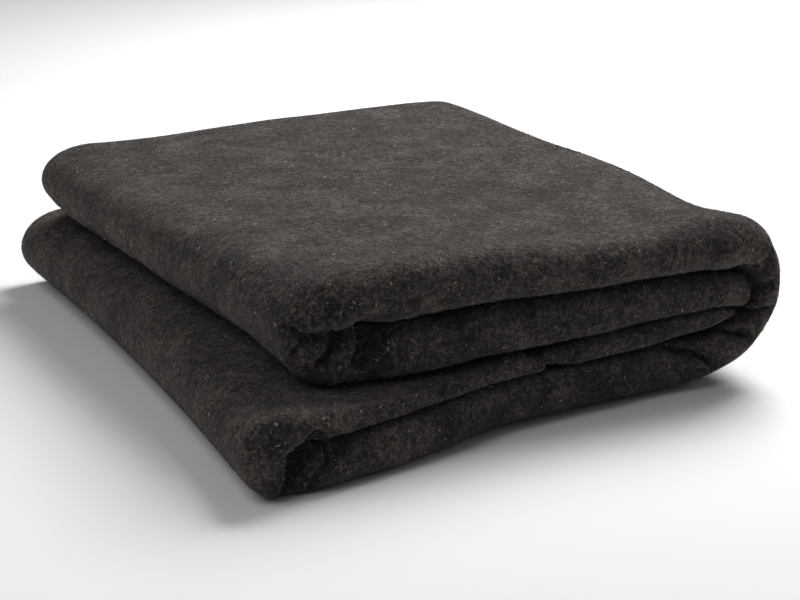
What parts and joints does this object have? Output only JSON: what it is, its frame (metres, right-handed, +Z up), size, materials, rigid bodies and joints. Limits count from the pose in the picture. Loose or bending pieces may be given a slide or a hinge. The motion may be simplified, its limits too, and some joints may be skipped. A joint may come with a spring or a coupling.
{
  "type": "folded moving blanket",
  "caption": "Thick wool-felt moving blanket folded flat into a strip and then across into a low stack, with plain cut edges.",
  "frame": {"origin": "centre of the blanket's outline on the surface that it lies on", "axes": "+Z up through the stack; +X along the front, from the turned ends to the spine; +Y from the front fold to the cut edges"},
  "size_m": [0.4204, 0.498, 0.1171],
  "materials": {
    "felt": "matt fuzzy wool felt, dark warm grey with light and dark fibres"
  },
  "bodies": {
    "root": {"blanket": "felt"}
  },
  "joints": []
}
